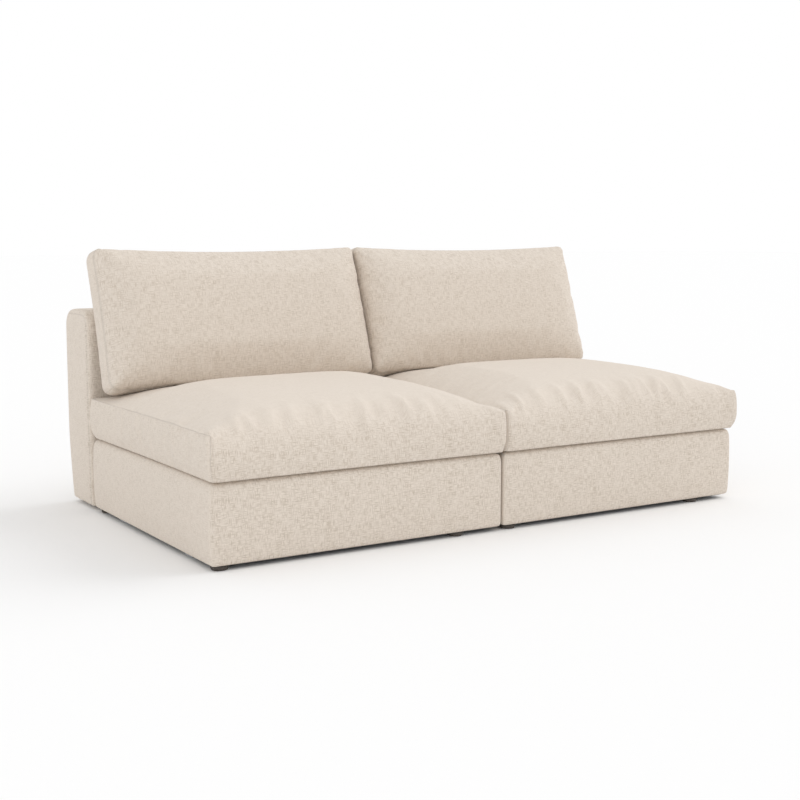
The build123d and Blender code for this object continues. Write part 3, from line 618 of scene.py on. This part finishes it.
for module, hand in MODULES.items():
    low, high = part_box(f"{module}_seat_cover")
    middle, half = (low + high) / 2, (high - low) / 2
    sizes = Vector((half.x, half.y, SEAT_SEAM_HEIGHT / 2))
    bm, grids = padded_block((88, 88, 14))
    held, folds, seam, plain = [], [], [], []
    for vert, grid in zip(bm.verts, grids):
        share = (grid.z + 1) / 2
        outer = grid.x * hand > 0
        pulled_x = half.x - boxing_inset(share) * (1.0 if outer else INNER_DRAW)
        if outer:
            pulled_x -= SEAT_SIDE_PULL * (1 - grid.y**2)
        pulled_y = half.y - boxing_inset(share)
        if grid.y < 0:
            pulled_y -= SEAT_SIDE_PULL * (1 - grid.x**2)
        in_x, in_y = ring_round(
            (1 - abs(grid.x)) * pulled_x,
            (1 - abs(grid.y)) * pulled_y,
            SEAT_CORNER if grid.x > 0 else SEAT_SOFT_CORNER,
        )
        drop = (1 - share) * SEAT_SEAM_HEIGHT
        over_edge = in_y - drop
        if grid.y < 0:
            ends = math.exp(-in_x / WATERFALL_END_RUN)
            in_y, drop = ring_round(
                in_y, drop, WATERFALL_ROUND + (WATERFALL_END_ROUND - WATERFALL_ROUND) * ends
            )
        crown = seat_crown(in_x, in_y, outer) if grid.z > -ON_FACE else 0.0
        vert.co = Vector(
            (
                middle.x + math.copysign(pulled_x - in_x, grid.x),
                middle.y + math.copysign(pulled_y - in_y, grid.y),
                low.z + SEAT_SEAM_HEIGHT - drop + crown,
            )
        )
        sewn = seam_distance(grid, sizes, top_front_sewn=False)
        against = grid.z < -ON_FACE or grid.y > ON_FACE or grid.x * hand < -ON_FACE
        covered = min(1.0, max(0.0, (vert.co.y - BACK_CUSHION_LINE) / BACK_CUSHION_FADE + 1))
        held.append(1.0 if against else max(covered, seam_hold(sewn)))
        on_side = abs(grid.x) > ON_FACE or in_x < in_y
        along = SIDE_GATHERS * vert.co.y if on_side else FRONT_GATHERS * vert.co.x
        gather = GATHER * math.exp(-sewn / GATHER_REACH)
        gather *= min(1.0, GATHER_AT_SEAM + sewn / GATHER_RISE)
        gather *= share**2 * min(1.0, max(in_x, in_y) / CORNER_CALM)
        band = math.exp(-(((over_edge - FOLD_LINE) / FOLD_BAND) ** 2)) if grid.y < 0 else 0.0
        crease = noise.noise(Vector((FOLDS * vert.co.x, 3.7 * hand, over_edge * 3.0)))
        ridge = math.exp(-((crease / FOLD_WIDTH) ** 2)) - FOLD_LEVEL
        patch = 0.6 + 0.9 * noise.noise(Vector((FOLD_GROUPS * vert.co.x, 9.1 * hand, 0.0)))
        fold = 0.0 if against else gather * noise.noise(Vector((along, 5.3 * hand, 0.5)))
        if not against:
            fold += FOLD * ridge * max(0.0, patch) * band * min(1.0, in_x / FOLD_END)
        folds.append(fold + seam_lip(sewn))
        seam.append(sewn)
        # Painted light: the top, the sides and the upper front get paler, plainer cloth, as though
        # the light washed out their slubs.
        if grid.z > ON_FACE:
            reached = min(1.0, max(0.0, over_edge / TOP_PAINTED_LIGHT_RUN))
            plain.append(TOP_PAINTED_LIGHT + TOP_PAINTED_LIGHT_GAIN * reached)
        elif abs(grid.x) > ON_FACE:
            plain.append(SIDE_PAINTED_LIGHT)
        else:
            reached = max(0.0, 1 + over_edge / FRONT_PAINTED_LIGHT_RUN)
            plain.append(TOP_PAINTED_LIGHT * reached if grid.y < 0 else 0.0)
    inflate(bm, held, CLOTH_SPREAD, FILL_CAP)
    push(bm, folds)
    for vert in bm.verts:
        vert.co.x = min(max(vert.co.x, low.x), high.x)
        vert.co.y = min(vert.co.y, high.y)
        vert.co.z = max(vert.co.z, low.z)
    lay_cloth(bm, grids, Vector((middle.x, low.y, low.z + SEAT_SEAM_HEIGHT)))
    mark(bm, "seam", seam)
    mark(bm, "plain", plain)
    upholster(
        bm,
        f"{module}_seat_upholstery",
        f"{module}_seat_cushion",
        (f"{module}_seat_cover", f"{module}_seat_core"),
    )


# Back cushions: loose fibre-filled cushions leaning on the back rest. A front and a
# rear panel meet a boxing strip, the corners are soft and the top edge sags.
LEAN = math.radians(19.0)
CUSHION_HEIGHT = 0.469
CUSHION_REAR_SEAM = 0.0525
CUSHION_FRONT_SEAM = 0.014
CUSHION_FOOT = Vector((0.0, 0.2196, 0.3957))
CUSHION_CORNER = 0.030
CUSHION_TOP_PULL = 0.013
CUSHION_SIDE_PULL = 0.004
CUSHION_SEAM_INSET = 0.004
OUTER_TAPER = 0.006
FRONT_CROWN = 0.072
EDGE_ROUND = 0.036
REAR_CROWN = 0.018
REAR_PLATEAU = 0.075
CUSHION_CLEARANCE = 0.002
CUSHION_TOUCH = 0.004
SEAT_SIDE_STEP, SEAT_REAR_STEP = 0.004, 0.009
EDGE_SHARE, MIDDLE_SHARE, MIDDLE_PACE = 0.72, 0.28, 1.3
CUSHION_GATHER, CUSHION_GATHER_REACH = 0.0022, 0.035
CUSHION_GATHER_RISE, CUSHION_GATHERS = 0.008, 26.0
# Painted light: the back cushions lose a share of their slubs, which makes the cloth paler.
CUSHION_PAINTED_LIGHT = 0.2
up = Vector((0.0, math.sin(LEAN), math.cos(LEAN)))
facing = Vector((0.0, -math.cos(LEAN), math.sin(LEAN)))


def pillow_share(inset):
    """The front panel turns over its edge in a tight round, then swells slowly to the middle."""
    edge = math.sqrt(1 - (1 - min(1.0, inset / EDGE_ROUND)) ** 2)
    return EDGE_SHARE * edge + MIDDLE_SHARE * crown_share(MIDDLE_PACE * inset)


def plateau_share(inset):
    """The rear panel is flat where it leans, and falls away towards its edge."""
    return math.sin(min(1.0, inset / REAR_PLATEAU) * math.pi / 2)


for module, hand in MODULES.items():
    seat_low, seat_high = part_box(f"{module}_seat_cover")
    low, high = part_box(f"{module}_back_cushion_cover")
    boxing = CUSHION_REAR_SEAM + CUSHION_FRONT_SEAM
    half = Vector(((high.x - low.x) / 2, CUSHION_HEIGHT / 2, boxing / 2))
    centre = CUSHION_FOOT + up * half.y
    centre.x = (low.x + high.x) / 2
    bm, grids = padded_block((80, 42, 12))
    held, folds, seam, floors = [], [], [], []
    for vert, grid in zip(bm.verts, grids):
        draw = CUSHION_SEAM_INSET * grid.z**2
        pulled_x, pulled_y = half.x, half.y - draw
        if grid.y > 0:
            pulled_y -= CUSHION_TOP_PULL * (1 - grid.x**2)
        outer = grid.x * hand > 0
        if outer:
            pulled_x -= draw + CUSHION_SIDE_PULL * (1 - grid.y**2)
        if outer and hand < 0:
            pulled_x -= OUTER_TAPER * (1 + grid.y) / 2
        in_x, in_y = ring_round(
            (1 - abs(grid.x)) * pulled_x, (1 - abs(grid.y)) * pulled_y, CUSHION_CORNER
        )
        depth = boxing * (grid.z + 1) / 2 - CUSHION_REAR_SEAM
        if grid.z > ON_FACE:
            filled_x = in_x if outer else PRESSED * in_x
            depth += FRONT_CROWN * pillow_share(filled_x) * pillow_share(in_y)
        if grid.z < -ON_FACE:
            depth -= REAR_CROWN * plateau_share(in_x) * plateau_share(in_y)
        point = centre + up * math.copysign(pulled_y - in_y, grid.y) + facing * depth
        point.x += math.copysign(pulled_x - in_x, grid.x)
        in_seat_x = max(0.0, half.x - abs(point.x - centre.x) + SEAT_SIDE_STEP)
        in_seat_y = max(0.0, seat_high.y - point.y - SEAT_REAR_STEP)
        seat_top = seat_crown(in_seat_x, in_seat_y, outer)
        floors.append(seat_low.z + SEAT_SEAM_HEIGHT + seat_top + CUSHION_CLEARANCE)
        point.z = max(point.z, floors[-1])
        vert.co = point
        sewn = seam_distance(grid, half)
        against = grid.z < -ON_FACE or grid.x * hand < -ON_FACE
        against = against or point.z < floors[-1] + CUSHION_TOUCH
        held.append(1.0 if against else seam_hold(sewn))
        along = vert.co.z if in_x < in_y else vert.co.x
        gather = CUSHION_GATHER * math.exp(-sewn / CUSHION_GATHER_REACH)
        gather *= min(1.0, sewn / CUSHION_GATHER_RISE)
        ripple = noise.noise(Vector((CUSHION_GATHERS * along, 7.7 * hand, 0.2)))
        folds.append(0.0 if against else gather * ripple + seam_lip(sewn))
        seam.append(sewn)
    inflate(bm, held, CLOTH_SPREAD, FILL_CAP)
    push(bm, folds)
    for vert in bm.verts:
        vert.co.x = min(max(vert.co.x, low.x), high.x)
        vert.co.z = max(vert.co.z, floors[vert.index])
    lay_cloth(bm, grids, centre, along=up, out=facing)
    mark(bm, "seam", seam)
    # Painted light: side panels and the rest of the cover get paler, plainer cloth.
    mark(bm, "plain", [SIDE_PAINTED_LIGHT if abs(grid.x) > ON_FACE else CUSHION_PAINTED_LIGHT for grid in grids])
    upholster(
        bm,
        f"{module}_back_cushion_upholstery",
        f"{module}_back_cushion",
        (f"{module}_back_cushion_cover", f"{module}_back_cushion_core"),
    )


# Zips: cream tape with a row of teeth and a small plated slider, sewn into the rear of
# every cushion cover, out of sight.
zip_tape = woven_material("zip_tape", (0.72, 0.64, 0.55), (0.50, 0.43, 0.35), 0.0015)
for module in MODULES:
    dress([f"{module}_seat_zip", f"{module}_back_zip"], zip_tape)
    dress([f"{module}_seat_zip_slider", f"{module}_back_zip_slider"], zinc_plate)


# Studio: a pale floor, an even white surround, a broad key light from above on the right,
# a low fill light from the front left and the camera where the photograph was taken.
bm = bmesh.new()
bmesh.ops.create_grid(bm, x_segments=1, y_segments=1, size=60.0)
floor_mesh = bpy.data.meshes.new("floor")
bm.to_mesh(floor_mesh)
bm.free()
floor = bpy.data.objects.new("floor", floor_mesh)
bpy.context.scene.collection.objects.link(floor)
floor_material, tree = new_material("pale_floor")
close_material(
    tree,
    {"Base Color": (0.93, 0.93, 0.93, 1.0), "Roughness": 0.9, "Specular IOR Level": 0.0},
)
floor_mesh.materials.append(floor_material)

SURROUND_LIGHT = 0.87
LAMP_SPREAD = math.radians(55.0)
world = bpy.data.worlds.new("white_surround")
bpy.context.scene.world = world
world.use_nodes = True
tree = world.node_tree
surround = tree.nodes["Background"]
surround.inputs["Color"].default_value = (1.0, 1.0, 1.0, 1.0)
path = add_node(tree, "ShaderNodeLightPath")
seen = path.outputs["Is Camera Ray"]
for ray in ("Is Glossy Ray", "Is Transmission Ray"):
    seen = add_node(
        tree, "ShaderNodeMath", {0: seen, 1: path.outputs[ray]}, operation="MAXIMUM"
    ).outputs["Value"]
level = add_node(tree, "ShaderNodeMapRange", {"Value": seen, "To Min": SURROUND_LIGHT})
tree.links.new(level.outputs["Result"], surround.inputs["Strength"])

for name, strength, travel in (
    ("key_light", 0.95, (-0.84, 0.06, -0.54)),
    ("fill_light", 0.42, (0.74, 0.62, -0.25)),
):
    lamp_data = bpy.data.lights.new(name, "SUN")
    lamp_data.energy = strength
    lamp_data.angle = LAMP_SPREAD
    lamp = bpy.data.objects.new(name, lamp_data)
    lamp.rotation_euler = Vector(travel).to_track_quat("-Z", "Y").to_euler()
    bpy.context.scene.collection.objects.link(lamp)

camera_data = bpy.data.cameras.new("camera")
camera_data.sensor_width = 36.0
camera_data.lens = 58.7
camera = bpy.data.objects.new("camera", camera_data)
camera.location = (-2.299, -3.667, 0.876)
camera.rotation_euler = (math.radians(90.0 - 7.11), 0.0, math.radians(-32.02))
bpy.context.scene.collection.objects.link(camera)
bpy.context.scene.camera = camera
bpy.context.scene.view_settings.view_transform = "Standard"
